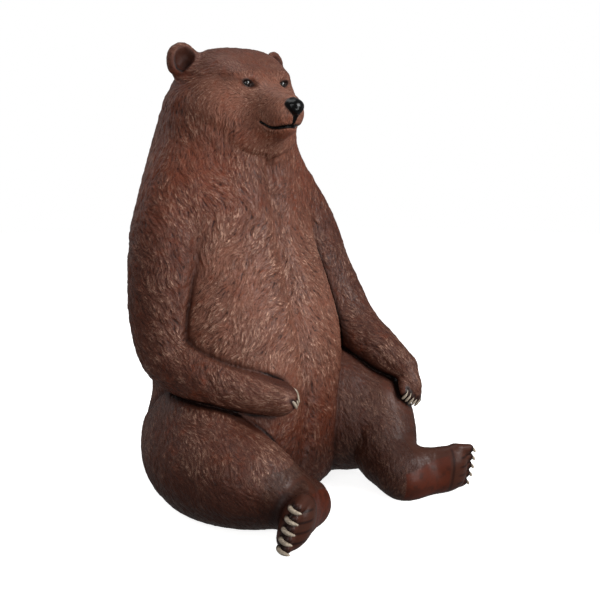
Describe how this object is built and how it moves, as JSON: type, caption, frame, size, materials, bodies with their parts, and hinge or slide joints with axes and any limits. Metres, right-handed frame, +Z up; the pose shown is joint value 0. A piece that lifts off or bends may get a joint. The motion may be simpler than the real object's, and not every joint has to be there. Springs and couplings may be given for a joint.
{
  "type": "fiberglass bear statue",
  "caption": "Life-size brown bear sitting upright, one paw in its lap and the other on its knee, a hollow painted casting that stands on its own flat underside.",
  "frame": {"origin": "centre of the bounding box at the height of the underside", "axes": "+Z up, the bear faces -Y, +X towards the bear's left side"},
  "size_m": [0.9802, 1.0432, 1.54],
  "materials": {
    "painted_fur": "painted fiberglass under a satin clear coat, dark brown limbs and back, lighter warm brown face, chest and belly"
  },
  "bodies": {
    "root": {"bear": "painted_fur"}
  },
  "joints": []
}
